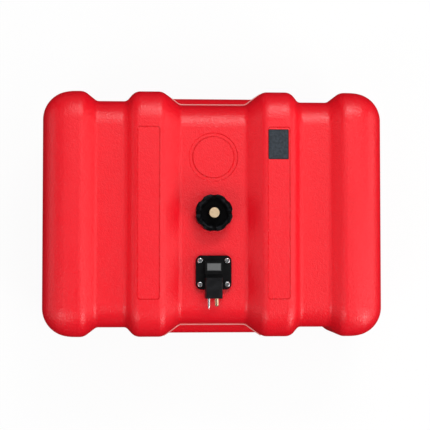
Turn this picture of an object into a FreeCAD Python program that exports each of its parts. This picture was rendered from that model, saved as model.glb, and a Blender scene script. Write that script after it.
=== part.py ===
import FreeCAD, Part
import math
import os

from FreeCAD import Vector as V

# Outboard fuel tank, millimetres. +X along the tank, +Y across it, +Z up.
# The origin lies in the middle of the base, on the surface that the tank stands on.

# ---------------------------------------------------------------- tank body
LENGTH = 596.4
WIDTH = 432.0
HEIGHT = 240.0            # to the top of the ribs
WALL = 5.0
TOP_RADIUS = 52.0         # of the long upper edges
BASE_RADIUS = 52.0        # of the long lower edges

# Grooves between the ribs
STRAP_DEPTH = 17.5        # strap grooves, on the top
STRAP_SIDE_DEPTH = 16.0   # and on the sides
STRAP_TOP_RADIUS = 46.0
MIDDLE_DEPTH = 25.0       # wide middle groove, on the top
MIDDLE_SIDE_DEPTH = 22.0  # and on the sides
MIDDLE_TOP_RADIUS = 43.0
BASE_DEPTH = 6.0          # all grooves, under the tank
MIDDLE_HALF = 58.0        # half the floor width of the middle groove
MIDDLE_SLOPE = 30.6       # run of its flank
RIB_TOP = 48.1            # width of a middle rib's top
STRAP_OUT_SLOPE = 15.4    # run of the flank between a middle rib and its strap groove
STRAP_FLOOR = 52.4        # floor width of a strap groove
LOBE_SLOPE = 21.2         # run of the flank between a strap groove and its end lobe
CREST_ROUND = 20.0
FLOOR_ROUND = 10.5

# Rounded ends of the lobes: a tight arc from the end face, then a flat one to the crest
END_RADIUS = 50.0
CROWN_RADIUS = 85.0
END_ARC = 79.0            # degrees of the tight arc

# Hand-holds in the middle of both long sides
GRIP_MARGIN = 6.0         # from the middle groove's flanks to the pocket
LIP_HEIGHT = 53.0         # from the middle groove's floor down to the lip's lower edge
GRIP_OPENING = 21.0       # from that edge down to where the pocket meets the leaning wall
GRIP_DEPTH = 14.0         # how far the pocket reaches in behind the lip
GRIP_EDGE = 3.0           # rounding of the lip
FOOT_DEPTH = 2.0          # depth of the middle groove below the hand-hold
FOOT_LEAN = 22.0          # height over which the lower wall leans in
FOOT_BASE_RADIUS = 44.0   # of the lower wall's bottom edge

# Moulded details on the top
RING_END = 53.0           # from the end of the groove's flat floor to the ring's centre
RING_INNER = 36.0
RING_OUTER = 42.5
RING_DEPTH = 1.6
RING_DRAFT = 0.6
PANEL_END = 15.0          # from the end of the rib's flat top to the panel
PANEL_MARGIN = 4.6        # from the rib's edges to the panel
PANEL_DEPTH = 1.2
PANEL_CORNER = 5.0

# ---------------------------------------------------------------- filler neck and cap
NECK_BORE = 21.5
NECK_WALL = 4.0
NECK_HEIGHT = 14.0
GASKET_THICK = 2.5
GASKET_BACK = 1.3         # from the neck's bore to the gasket's
GASKET_OVER = 0.1         # gasket beyond the neck's wall
CAP_CLEAR = 0.5           # round the neck
CAP_WALL = 6.3
CAP_LIFT = 1.5            # skirt above the tank's top
CAP_CEILING = 3.5         # thickness of the web
CAP_RIM = 11.5            # rim above the underside of the web
RIM_WIDTH = 7.3
DISH_SLOPE = 4.5          # run of the dish's wall
RIM_ROUND = 2.5
FLUTES = 8                # wide shallow scallops round the rim
FLUTE_RADIUS = 16.0
FLUTE_DEPTH = 1.8
NOTCHES = 4               # radial notches across the rim
NOTCH_RADIUS = 4.0
NOTCH_DEPTH = 1.8
HUB_WALL = 4.0            # round the bush
HUB_HEIGHT = 10.5         # above the underside of the web
HUB_DRAFT = 1.5
VENT_HOLE = 1.5
VENT_FLOOR = 1.5          # thickness under the vent seal
BUSH_WALL = 2.5
BUSH_PRESS = 0.05         # gap round the bush
STEM_RADIUS = 4.0
RUNNING = 0.05            # radial clearance of everything that turns or slides in a bore
SEAL_CLEAR = 1.0          # from the seal to the wall of its pocket
SEAL_THICK = 2.0
VENT_TRAVEL = 2.0
VENT_SPARE = 0.3
HEAD_STEP = 5.0           # from the stem to the edge of the head
HEAD_HEIGHT = 7.0
HEAD_GAP = 0.6
HEAD_ROUND = 1.2
KNURLS = 36
KNURL_RADIUS = 0.45
AIR_FLAT = 0.8            # depth of the flat along the stem that lets air pass

# ---------------------------------------------------------------- gauge and withdrawal flange
GAUGE_Y = -103.0
PLATE_X = 62.0
PLATE_Y = 59.0
PLATE_THICK = 6.0
PLATE_CORNER = 9.5
PLATE_EDGE = 1.0
PLATE_GASKET = 2.0
GASKET_INSET = 0.5
SCREW_INSET_X = 7.5       # from the plate's edges to the screws
SCREW_INSET_Y = 9.0
SCREW_PLAY = 0.45         # round the shank in the plate
SCREW_SHANK = 2.45
SCREW_LENGTH = 17.0
SCREW_STEP = 2.35         # from the shank to the edge of the head
SCREW_HEAD_HEIGHT = 3.2
RECESS_WIDTH = 1.2
RECESS_SPAN = 4.4
RECESS_DEPTH = 1.8
INSERT_WALL = 1.7
INSERT_LENGTH = 12.0
INSERT_GAP = 0.05
SEAT_MARGIN = 3.0         # of the thickened seat inside the tank, beyond the plate
SEAT_THICK = 14.0
HOLE_MARGIN = 6.5         # from the tube's axis to the edge of the gauge hole
SPIGOT_GAP = 0.4
SPIGOT_LENGTH = 10.0

# Window housing, with places given from the middle of the plate
TOWER_WALL = 3.3          # beside the dial's chamber
TOWER_END_WALL = 3.4
TOWER_STEP = -3.0
TOWER_HEIGHT = 14.0
STEP_DROP = 3.5
TOWER_CORNER = 2.5
ROOF = 5.5                # over the dial
AXIS_Y = 4.4              # turning axis of the dial
DIAL_CLEAR = 0.6          # round the dial
CHAMBER_WALL = 1.2        # between the dial's chamber and the connector block
BEARING_THICK = 4.0
STRIP_CAVITY = 8.0
WINDOW_X = 24.0
WINDOW_Y = 12.7
WINDOW_CENTRE = 9.75
LENS_LIP = 0.9            # overlap of the lens on its seat
LENS_GAP = 0.1
LENS_THICK = 1.5

# Gauge works
DIAL_RADIUS = 11.6
DIAL_THICK = 1.6
DIAL_HUB_STEP = 2.0       # from the shaft to the edge of its thrust face
DIAL_RISE = 1.6           # disc above the hub's thrust face
THRUST_GAP = 0.2
SHAFT_RADIUS = 3.0
SHAFT_BELOW = 7.0         # shaft below the bearing
STRIP_WIDTH = 7.0
STRIP_THICK = 1.0
STRIP_TURN = 180.0        # degrees of twist over the whole strip
STRIP_STEPS = 24
TANG_WALL = 1.2           # of the shaft beside the tang
TANG_LENGTH = 6.0
TANG_GAP = 0.05
PIVOT_RADIUS = 1.2
PIVOT_LENGTH = 5.0
RAIL_X = 10.5
RAIL_WIDTH = 3.0
RAIL_DEPTH = 6.0
SOCKET_DEPTH = 8.0
SOCKET_GAP = 0.1
FOOT_CLEAR = 3.0          # foot above the tank's floor
FOOT_THICK = 6.0
FOOT_MARGIN = 2.0         # of the foot beyond the rails
FOOT_LENGTH = 10.0
STRIP_CLEAR = 0.5
FLOAT_RADIUS = 15.8
FLOAT_SHIFT = -0.5
FLOAT_CLEAR = 3.7         # from the pickup tube to the float's flat side
FLOAT_HEIGHT = 26.0
FLOAT_REST = 0.2
FLOAT_GAP = 0.4           # round each rail
FLOAT_BORE = 5.5
DRIVER_THICK = 2.5
DRIVER_GAP = 0.5          # round the strip

# Fuel pickup and connector
TUBE_X = 4.8
TUBE_BORE = 3.0
TUBE_WALL = 1.0
TUBE_HOLE_GAP = 0.1
TUBE_IN_BLOCK = 8.0
TUBE_CLEAR = 7.0          # tube's end above the tank's floor
STRAINER_STEP = 1.5       # from the tube to the strainer's outside
STRAINER_WALL = 0.8
STRAINER_CLEAR = 2.0
STRAINER_HEIGHT = 23.0
STRAINER_COLLAR = 6.0
STRAINER_SLOTS = 6
STRAINER_SLOT = 1.6
SEAL_RING_WIDTH = 1.6
SEAL_RING_THICK = 2.0
BLOCK_HALF = 15.7
BLOCK_TOP_HALF = 14.0
BLOCK_HEIGHT = 22.0
BLOCK_LENGTH = 35.5
BLOCK_WALL = 0.9          # behind the tube's seal
BLOCK_ROUND = 1.5
PIN_HEIGHT = 11.0         # axes of both pins above the plate
PIN_GAP = 0.05
NIPPLE_RADIUS = 3.7
NIPPLE_STEP = 0.8         # from the pin to its shank
NIPPLE_IN = 20.5          # length inside the block
NIPPLE_OUT = 13.5         # length in front of it
NIPPLE_CONE = 1.5
NIPPLE_PASSAGE = 1.3
SPRING_IN = 8.5           # spring's seat, behind the block's front face
VALVE_OUT = 10.0          # valve's seat, in front of it
VALVE_HOLE = 1.2
SIDE_HOLE = 0.9
SIDE_HOLE_OUT = 8.5
PLUNGER_RADIUS = 2.0
PLUNGER_LENGTH = 7.0
NOSE_GAP = 0.1            # round the nose in the valve hole
NOSE_LENGTH = 3.2
NIPPLE_SEAL_THICK = 1.8
NIPPLE_SEAL_INNER = 2.3
SPRING_WIRE = 0.3
SPRING_INSET = 0.5        # of the coil inside the plunger's edge
SPRING_TURNS = 7
LOCATOR_X = -8.8
LOCATOR_RADIUS = 2.3
LOCATOR_STEP = 0.7        # from the pin to its shank
LOCATOR_IN = 16.5
LOCATOR_OUT = 17.5
LOCATOR_CONE = 4.0
LOCATOR_POINT = 0.7

# ---------------------------------------------------------------- sizes worked out from them
GRIP_HALF = MIDDLE_HALF - GRIP_MARGIN
RING_Y = WIDTH / 2 - MIDDLE_SIDE_DEPTH - MIDDLE_TOP_RADIUS - RING_END
PANEL_HALF_LENGTH = WIDTH / 2 - TOP_RADIUS - PANEL_END

NECK_OUTER = NECK_BORE + NECK_WALL
GASKET_INNER = NECK_BORE + GASKET_BACK
GASKET_OUTER = NECK_OUTER + GASKET_OVER
CAP_BORE = NECK_OUTER + CAP_CLEAR
CAP_RADIUS = CAP_BORE + CAP_WALL
RIM_INNER = CAP_RADIUS - RIM_WIDTH
DISH_RADIUS = RIM_INNER - DISH_SLOPE
BUSH_OUTER = STEM_RADIUS + BUSH_WALL
HUB_RADIUS = BUSH_OUTER + HUB_WALL
SEAL_RADIUS = BUSH_OUTER - SEAL_CLEAR
HEAD_RADIUS = STEM_RADIUS + HEAD_STEP

SCREW_X = PLATE_X / 2 - SCREW_INSET_X
SCREW_Y = PLATE_Y / 2 - SCREW_INSET_Y
SCREW_HOLE = SCREW_SHANK + SCREW_PLAY
SCREW_HEAD = SCREW_SHANK + SCREW_STEP
INSERT_BORE = SCREW_SHANK + RUNNING
INSERT_OUTER = INSERT_BORE + INSERT_WALL
SEAT_X = PLATE_X + 2 * SEAT_MARGIN
SEAT_Y = PLATE_Y + 2 * SEAT_MARGIN

DIAL_CHAMBER = DIAL_RADIUS + DIAL_CLEAR
TOWER_HALF = DIAL_CHAMBER + TOWER_WALL
TOWER_FRONT = AXIS_Y + DIAL_CHAMBER + TOWER_END_WALL
DIAL_HUB = SHAFT_RADIUS + DIAL_HUB_STEP
TANG_WIDTH = 2 * (SHAFT_RADIUS - TANG_WALL)
FOOT_WIDTH = 2 * (RAIL_X + FOOT_MARGIN) + RAIL_WIDTH

TUBE_OUTER = TUBE_BORE + TUBE_WALL
STRAINER_RADIUS = TUBE_OUTER + STRAINER_STEP
SEAL_RING_OUTER = TUBE_OUTER + SEAL_RING_WIDTH
BLOCK_BACK = AXIS_Y - DIAL_CHAMBER - CHAMBER_WALL
BLOCK_FRONT = BLOCK_BACK - BLOCK_LENGTH
TUBE_Y = BLOCK_BACK - BLOCK_WALL - SEAL_RING_OUTER
FLOAT_FLAT = TUBE_Y + TUBE_OUTER + FLOAT_CLEAR
GAUGE_HOLE = HOLE_MARGIN - TUBE_Y
SPIGOT_RADIUS = GAUGE_HOLE - SPIGOT_GAP

NIPPLE_SHANK = NIPPLE_RADIUS + NIPPLE_STEP
NIPPLE_BACK = BLOCK_FRONT + NIPPLE_IN
NIPPLE_TIP = BLOCK_FRONT - NIPPLE_OUT
SPRING_SEAT = BLOCK_FRONT + SPRING_IN
VALVE_SEAT = BLOCK_FRONT - VALVE_OUT
SIDE_HOLE_Y = BLOCK_FRONT - SIDE_HOLE_OUT
PLUNGER_NOSE = VALVE_HOLE - NOSE_GAP
SPRING_COIL = PLUNGER_RADIUS - SPRING_INSET
LOCATOR_SHANK = LOCATOR_RADIUS + LOCATOR_STEP
LOCATOR_BACK = BLOCK_FRONT + LOCATOR_IN
LOCATOR_TIP = BLOCK_FRONT - LOCATOR_OUT

# Heights
TANK_FLOOR = BASE_DEPTH + WALL                       # inside, in the middle groove
TOP = HEIGHT - MIDDLE_DEPTH                          # floor of the middle groove
GRIP_TOP = TOP - LIP_HEIGHT                          # lower edge of the hand-hold's lip
GRIP_LOW = GRIP_TOP - GRIP_OPENING
FOOT_TOP = GRIP_LOW - FOOT_LEAN
RIM = TOP + NECK_HEIGHT                              # of the filler neck
WEB = RIM + GASKET_THICK                             # underside of the cap's web
SEAL_BOTTOM = WEB + VENT_FLOOR
SEAL_TOP = SEAL_BOTTOM + SEAL_THICK
BUSH_BOTTOM = SEAL_TOP + VENT_TRAVEL + VENT_SPARE
HUB_TOP = WEB + HUB_HEIGHT
PLATE_BOTTOM = TOP + PLATE_GASKET
PLATE_TOP = PLATE_BOTTOM + PLATE_THICK
SPIGOT_BOTTOM = PLATE_BOTTOM - SPIGOT_LENGTH
TOWER_TOP = PLATE_TOP + TOWER_HEIGHT
BEARING_TOP = PLATE_TOP + BEARING_THICK
SHAFT_BOTTOM = PLATE_TOP - SHAFT_BELOW
FOOT_BOTTOM = TANK_FLOOR + FOOT_CLEAR
FOOT_TOP_FACE = FOOT_BOTTOM + FOOT_THICK
STRIP_BOTTOM = FOOT_TOP_FACE + STRIP_CLEAR
STRIP_TOP = SHAFT_BOTTOM - STRIP_CLEAR
FLOAT_BOTTOM = FOOT_TOP_FACE + FLOAT_REST
PIN_Z = PLATE_TOP + PIN_HEIGHT


# ---------------------------------------------------------------- helpers
def line(a, b):
    return Part.LineSegment(a, b).toShape()


def arc(a, mid, b):
    return Part.Arc(a, mid, b).toShape()


def in_xy(u, v):
    return V(u, v, 0)


def in_yz(u, v):
    return V(0, u, v)


def in_xz(u, v):
    return V(u, 0, v)


def outline(points, place):
    """Closed outline through points (u, v) or (u, v, radius), with rounded corners."""
    corners = []
    for number, point in enumerate(points):
        here = V(point[0], point[1], 0)
        radius = point[2] if len(point) > 2 else 0
        if not radius:
            corners.append((here, None, here))
            continue
        before = V(*points[number - 1][:2], 0) - here
        after = V(*points[(number + 1) % len(points)][:2], 0) - here
        before.normalize()
        after.normalize()
        half = before.getAngle(after) / 2
        reach = radius / math.tan(half)
        middle = (before + after).normalize()
        mid = here + middle * (radius / math.sin(half) - radius)
        corners.append((here + before * reach, mid, here + after * reach))
    edges = []
    for number, (start, mid, end) in enumerate(corners):
        last = corners[number - 1][2]
        if last.distanceToPoint(start) > 1e-6:
            edges.append(line(place(last.x, last.y), place(start.x, start.y)))
        if mid:
            edges.append(arc(place(start.x, start.y), place(mid.x, mid.y), place(end.x, end.y)))
    return Part.Wire(edges)


def prism(points, place, travel):
    return Part.Face(outline(points, place)).extrude(travel)


def turned(points, centre=(0, 0)):
    """Solid of revolution about the vertical through centre, from points (radius, height)."""
    body = Part.Face(outline(points, in_xz)).revolve(V(0, 0, 0), V(0, 0, 1), 360)
    return body.translated(V(centre[0], centre[1], 0))


def rectangle(half_x, low_y, high_y, corner):
    return [
        (-half_x, low_y, corner), (half_x, low_y, corner),
        (half_x, high_y, corner), (-half_x, high_y, corner),
    ]


def upright(radius, low, high, x=0.0, y=0.0):
    return Part.makeCylinder(radius, high - low, V(x, y, low))


def lengthwise(radius, front, back, x, z):
    """Cylinder along Y from front to back, both given from the middle of the plate."""
    return Part.makeCylinder(radius, back - front, V(x, GAUGE_Y + front, z), V(0, 1, 0))


def box(low, high):
    return Part.makeBox(high[0] - low[0], high[1] - low[1], high[2] - low[2], V(*low))


def mirrored(shape):
    return shape.mirror(V(0, 0, 0), V(1, 0, 0))


def both_sides(shape):
    return [shape, shape.mirror(V(0, 0, 0), V(0, 1, 0))]


def around(shape, count):
    """Copies of a shape spread evenly round the vertical through the origin."""
    return [shape.rotated(V(0, 0, 0), V(0, 0, 1), 360 / count * number) for number in range(count)]


def screw_places():
    return [(x * SCREW_X, GAUGE_Y + y * SCREW_Y) for x in (-1, 1) for y in (-1, 1)]


def save(name, shape):
    shape.exportStep("parts/" + name + ".step")


# ---------------------------------------------------------------- tank form
def across(x, half_y, low, high, low_radius, high_radius):
    """Closed rounded outline across the tank, in the plane at x."""
    corners = [
        (half_y - high_radius, high - high_radius, high_radius, 90),
        (half_y - low_radius, low + low_radius, low_radius, 0),
        (-half_y + low_radius, low + low_radius, low_radius, -90),
        (-half_y + high_radius, high - high_radius, high_radius, -180),
    ]
    arcs = []
    for y, z, radius, start in corners:
        angles = [math.radians(start - turn) for turn in (0, 45, 90)]
        arcs.append([V(x, y + radius * math.cos(angle), z + radius * math.sin(angle)) for angle in angles])
    edges = []
    for number, points in enumerate(arcs):
        edges.append(line(arcs[number - 1][2], points[0]))
        edges.append(arc(*points))
    return Part.Wire(edges)


def rib_outline(x, inset):
    return across(x, WIDTH / 2 - inset, inset, HEIGHT - inset, BASE_RADIUS - inset, TOP_RADIUS - inset)


def groove_outline(x, inset, depth, side_depth, top_radius):
    return across(x, WIDTH / 2 - side_depth - inset, BASE_DEPTH + inset, HEIGHT - depth - inset,
                  BASE_RADIUS - BASE_DEPTH - inset, top_radius - inset)


def stations(inset):
    """Places along X where the form changes, for the form that lies inset inside the outer one."""
    middle = inset * math.tan(math.atan2(MIDDLE_DEPTH, MIDDLE_SLOPE) / 2)
    strap = inset * math.tan(math.atan2(STRAP_DEPTH, STRAP_OUT_SLOPE) / 2)
    lobe = inset * math.tan(math.atan2(STRAP_DEPTH, LOBE_SLOPE) / 2)
    rib_in = MIDDLE_HALF + MIDDLE_SLOPE
    rib_out = rib_in + RIB_TOP
    strap_in = rib_out + STRAP_OUT_SLOPE
    strap_out = strap_in + STRAP_FLOOR
    return {
        "middle": MIDDLE_HALF + middle,
        "rib_in": rib_in + middle,
        "rib_out": rib_out - strap,
        "strap_in": strap_in - strap,
        "strap_out": strap_out + lobe,
        "lobe_in": strap_out + LOBE_SLOPE + lobe,
    }


def lobe_end(start, inset):
    """Rounded end of a lobe, from x = start to the end face: a profile carried round the rib's outline."""
    tight = END_RADIUS - inset
    flat = CROWN_RADIUS - inset
    bend = math.radians(END_ARC)
    end = LENGTH / 2 - inset
    tight_x = end - tight
    flat_x = tight_x - (flat - tight) * math.cos(bend)
    drop = tight * math.sin(bend) + flat * (1 - math.sin(bend))
    core = BASE_RADIUS - inset                 # depth at which the carried profile ends

    def on_tight(turn):
        return V(tight_x + tight * math.cos(turn), drop - tight * math.sin(turn), 0)

    def on_flat(turn):
        return V(flat_x + flat * math.cos(turn), flat - flat * math.sin(turn), 0)

    profile = Part.Face(Part.Wire([
        line(V(start, core, 0), V(start, 0, 0)),
        line(V(start, 0, 0), V(flat_x, 0, 0)),
        arc(on_flat(math.pi / 2), on_flat((math.pi / 2 + bend) / 2), on_flat(bend)),
        arc(on_tight(bend), on_tight(bend / 2), on_tight(0)),
        line(V(end, drop, 0), V(end, core, 0)),
        line(V(end, core, 0), V(start, core, 0)),
    ]))
    half = WIDTH / 2 - inset
    low = inset
    high = HEIGHT - inset
    top = TOP_RADIUS - inset
    base = BASE_RADIUS - inset
    wall = profile.mirror(V(0, 0, 0), V(0, 1, 0)).translated(V(0, half, 0))
    pieces = []
    for piece in (
        wall.translated(V(0, 0, low + base)).extrude(V(0, 0, high - top - low - base)),
        wall.translated(V(0, 0, high - top)).revolve(V(0, half - top, high - top), V(1, 0, 0), 90),
        wall.translated(V(0, 0, low + base)).revolve(V(0, half - base, low + base), V(1, 0, 0), -90),
    ):
        pieces += both_sides(piece)
    roof = profile.rotated(V(0, 0, 0), V(1, 0, 0), -90).translated(V(0, top - half, high))
    pieces.append(roof.extrude(V(0, 2 * (half - top), 0)))
    floor = profile.rotated(V(0, 0, 0), V(1, 0, 0), 90).translated(V(0, base - half, low))
    pieces.append(floor.extrude(V(0, 2 * (half - base), 0)))
    pieces.append(box((start, core - half, low + core), (end, half - core, high - core)))
    return pieces


def rounded_loops(body, places, radius):
    """Rounds the edges that run round the tank in the planes x = +place and x = -place."""
    edges = []
    for edge in body.Edges:
        bounds = edge.BoundBox
        if bounds.XLength < 1e-4 and any(abs(abs(bounds.XMin) - place) < 1e-3 for place in places):
            edges.append(edge)
    return body.makeFillet(radius, edges)


def foot_wall(inset):
    """Lower wall of the middle groove, which stands further out than the lip and leans in towards it."""
    face = WIDTH / 2 - FOOT_DEPTH - inset
    lean = math.atan2(MIDDLE_SIDE_DEPTH - FOOT_DEPTH, GRIP_LOW - FOOT_TOP)
    knee = FOOT_TOP - inset * math.tan(lean / 2)
    tip = (GRIP_LOW + GRIP_TOP) / 2
    heart = WIDTH / 2 - 2 * BASE_RADIUS
    points = [
        (heart, BASE_DEPTH + inset),
        (face, BASE_DEPTH + inset, FOOT_BASE_RADIUS - inset),
        (face, knee, 2 * FLOOR_ROUND),
        (face - (tip - knee) * math.tan(lean), tip),
        (heart, tip),
    ]
    half = stations(inset)["rib_in"]
    return both_sides(prism(points, in_yz, V(2 * half, 0, 0)).translated(V(-half, 0, 0)))


def grip_pocket(grow):
    """Space for the fingers behind the lip, grown on all sides for the inside of the wall."""
    face = WIDTH / 2 - MIDDLE_SIDE_DEPTH
    back = face - GRIP_DEPTH - grow
    outside = WIDTH / 2 + 1
    top = GRIP_TOP + grow
    section = prism([
        (outside, top + 2 * GRIP_EDGE),
        (face - grow, top + 2 * GRIP_EDGE),
        (face - grow, top, GRIP_EDGE),
        (back, top, GRIP_EDGE + grow),
        (face - grow, GRIP_LOW - grow),
        (outside, GRIP_LOW - grow),
    ], in_yz, V(2 * LENGTH, 0, 0)).translated(V(-LENGTH, 0, 0))
    half = GRIP_HALF + grow
    flare = GRIP_DEPTH / 2
    plan = prism([
        (-half, back, flare), (half, back, flare), (half + flare, outside), (-half - flare, outside),
    ], in_xy, V(0, 0, HEIGHT))
    return both_sides(section.common(plan))


def tank_form(inset):
    """Closed outer form of the tank, or the form that lies inset inside it."""
    x = stations(inset)
    middle = [groove_outline(place, inset, MIDDLE_DEPTH, MIDDLE_SIDE_DEPTH, MIDDLE_TOP_RADIUS)
              for place in (0, x["middle"])]
    rib = [rib_outline(x[name], inset) for name in ("rib_in", "rib_out")]
    strap = [groove_outline(x[name], inset, STRAP_DEPTH, STRAP_SIDE_DEPTH, STRAP_TOP_RADIUS)
             for name in ("strap_in", "strap_out")]
    outlines = middle + rib + strap + [rib_outline(x["lobe_in"], inset)]
    right = [Part.makeLoft([first, second], True, True) for first, second in zip(outlines, outlines[1:])]
    right += lobe_end(x["lobe_in"], inset)
    body = right[0].multiFuse(right[1:])
    body = body.fuse(mirrored(body)).removeSplitter()
    body = rounded_loops(body, [x["rib_in"], x["rib_out"], x["lobe_in"]], CREST_ROUND - inset)
    body = rounded_loops(body, [x["middle"], x["strap_in"], x["strap_out"]], FLOOR_ROUND + inset)
    body = body.multiFuse(foot_wall(inset)).removeSplitter()
    return body.cut(grip_pocket(inset))


# ---------------------------------------------------------------- tank
def moulded_ring():
    """Shallow ring-shaped groove in the middle groove's floor."""
    return turned([
        (RING_INNER, TOP - RING_DEPTH), (RING_OUTER, TOP - RING_DEPTH),
        (RING_OUTER + 2 * RING_DRAFT, TOP + RING_DEPTH), (RING_INNER - 2 * RING_DRAFT, TOP + RING_DEPTH),
    ], (0, RING_Y))


def panels():
    """Shallow bare panels on the tops of the middle ribs."""
    rib_in = MIDDLE_HALF + MIDDLE_SLOPE
    low = rib_in + PANEL_MARGIN
    high = rib_in + RIB_TOP - PANEL_MARGIN
    panel = prism([
        (low, -PANEL_HALF_LENGTH, PANEL_CORNER), (high, -PANEL_HALF_LENGTH, PANEL_CORNER),
        (high, PANEL_HALF_LENGTH, PANEL_CORNER), (low, PANEL_HALF_LENGTH, PANEL_CORNER),
    ], in_xy, V(0, 0, 2 * PANEL_DEPTH)).translated(V(0, 0, HEIGHT - PANEL_DEPTH))
    return [panel, mirrored(panel)]


def tank_shell():
    neck = upright(NECK_OUTER, TOP - WALL / 2, RIM)
    seat = prism(rectangle(SEAT_X / 2, GAUGE_Y - SEAT_Y / 2, GAUGE_Y + SEAT_Y / 2, PLATE_CORNER),
                 in_xy, V(0, 0, SEAT_THICK - WALL / 2)).translated(V(0, 0, TOP - SEAT_THICK))
    shell = tank_form(0).cut(tank_form(WALL)).multiFuse([neck, seat])
    holes = [upright(NECK_BORE, TOP - 2 * WALL, RIM + 1)]
    holes.append(upright(GAUGE_HOLE, TOP - SEAT_THICK - 1, TOP + 1, 0, GAUGE_Y))
    for x, y in screw_places():
        holes.append(upright(INSERT_OUTER + INSERT_GAP, TOP - INSERT_LENGTH, TOP + 1, x, y))
    return shell.cut(holes + [moulded_ring()] + panels())


def gauge_inserts():
    inserts = []
    for x, y in screw_places():
        sleeve = upright(INSERT_OUTER, TOP - INSERT_LENGTH, TOP, x, y)
        inserts.append(sleeve.cut(upright(INSERT_BORE, TOP - INSERT_LENGTH - 1, TOP + 1, x, y)))
    return Part.makeCompound(inserts)


# ---------------------------------------------------------------- filler cap
def filler_cap():
    rim_top = WEB + CAP_RIM
    web_top = WEB + CAP_CEILING
    bore = BUSH_OUTER + BUSH_PRESS
    body = turned([
        (CAP_BORE, TOP + CAP_LIFT), (CAP_RADIUS, TOP + CAP_LIFT), (CAP_RADIUS, rim_top, RIM_ROUND),
        (RIM_INNER, rim_top, RIM_ROUND), (DISH_RADIUS, web_top, RIM_ROUND),
        (HUB_RADIUS + HUB_DRAFT, web_top), (HUB_RADIUS, HUB_TOP), (bore, HUB_TOP),
        (bore, SEAL_BOTTOM), (VENT_HOLE, SEAL_BOTTOM), (VENT_HOLE, WEB), (CAP_BORE, WEB),
    ])
    flute = upright(FLUTE_RADIUS, TOP, rim_top + 1, CAP_RADIUS - FLUTE_DEPTH + FLUTE_RADIUS, 0)
    notch_axis = V(DISH_RADIUS, 0, rim_top + NOTCH_RADIUS - NOTCH_DEPTH)
    notch = Part.makeCylinder(NOTCH_RADIUS, CAP_RADIUS, notch_axis, V(1, 0, 0))
    return body.cut(around(flute, FLUTES) + around(notch, NOTCHES))


def cap_gasket():
    return upright(GASKET_OUTER, RIM, WEB).cut(upright(GASKET_INNER, RIM - 1, WEB + 1))


def vent_bush():
    bore = upright(STEM_RADIUS + RUNNING, BUSH_BOTTOM - 1, HUB_TOP + 1)
    return upright(BUSH_OUTER, BUSH_BOTTOM, HUB_TOP).cut(bore)


def vent_seal():
    return upright(SEAL_RADIUS, SEAL_BOTTOM, SEAL_TOP)


def vent_screw():
    head_bottom = HUB_TOP + HEAD_GAP
    head_top = head_bottom + HEAD_HEIGHT
    screw = turned([
        (0, SEAL_TOP), (STEM_RADIUS, SEAL_TOP), (STEM_RADIUS, head_bottom), (HEAD_RADIUS, head_bottom),
        (HEAD_RADIUS, head_top, HEAD_ROUND), (0, head_top),
    ])
    cuts = [box((STEM_RADIUS - AIR_FLAT, -STEM_RADIUS, SEAL_TOP - 1),
                (STEM_RADIUS + 1, STEM_RADIUS, head_bottom))]
    for number in range(KNURLS):
        turn = math.radians(360 / KNURLS * number)
        cuts.append(upright(KNURL_RADIUS, head_bottom - 1, head_top + 1,
                            HEAD_RADIUS * math.cos(turn), HEAD_RADIUS * math.sin(turn)))
    return screw.cut(cuts)


# ---------------------------------------------------------------- gauge flange
def plate_body(low, high, inset):
    return prism(rectangle(PLATE_X / 2 - inset, GAUGE_Y - PLATE_Y / 2 + inset, GAUGE_Y + PLATE_Y / 2 - inset,
                           PLATE_CORNER - inset), in_xy, V(0, 0, high - low)).translated(V(0, 0, low))


def rails(low, high, gap):
    """The gauge's two guide rails, or the slots for them."""
    half_x = RAIL_WIDTH / 2 + gap
    half_y = RAIL_DEPTH / 2 + gap
    y = GAUGE_Y + AXIS_Y
    return [box((x - half_x, y - half_y, low), (x + half_x, y + half_y, high)) for x in (-RAIL_X, RAIL_X)]


def window_space(overlap, low, high):
    return prism(rectangle(WINDOW_X / 2 + overlap, GAUGE_Y + WINDOW_CENTRE - WINDOW_Y / 2 - overlap,
                           GAUGE_Y + WINDOW_CENTRE + WINDOW_Y / 2 + overlap, LENS_LIP),
                 in_xy, V(0, 0, high - low)).translated(V(0, 0, low))


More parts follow.
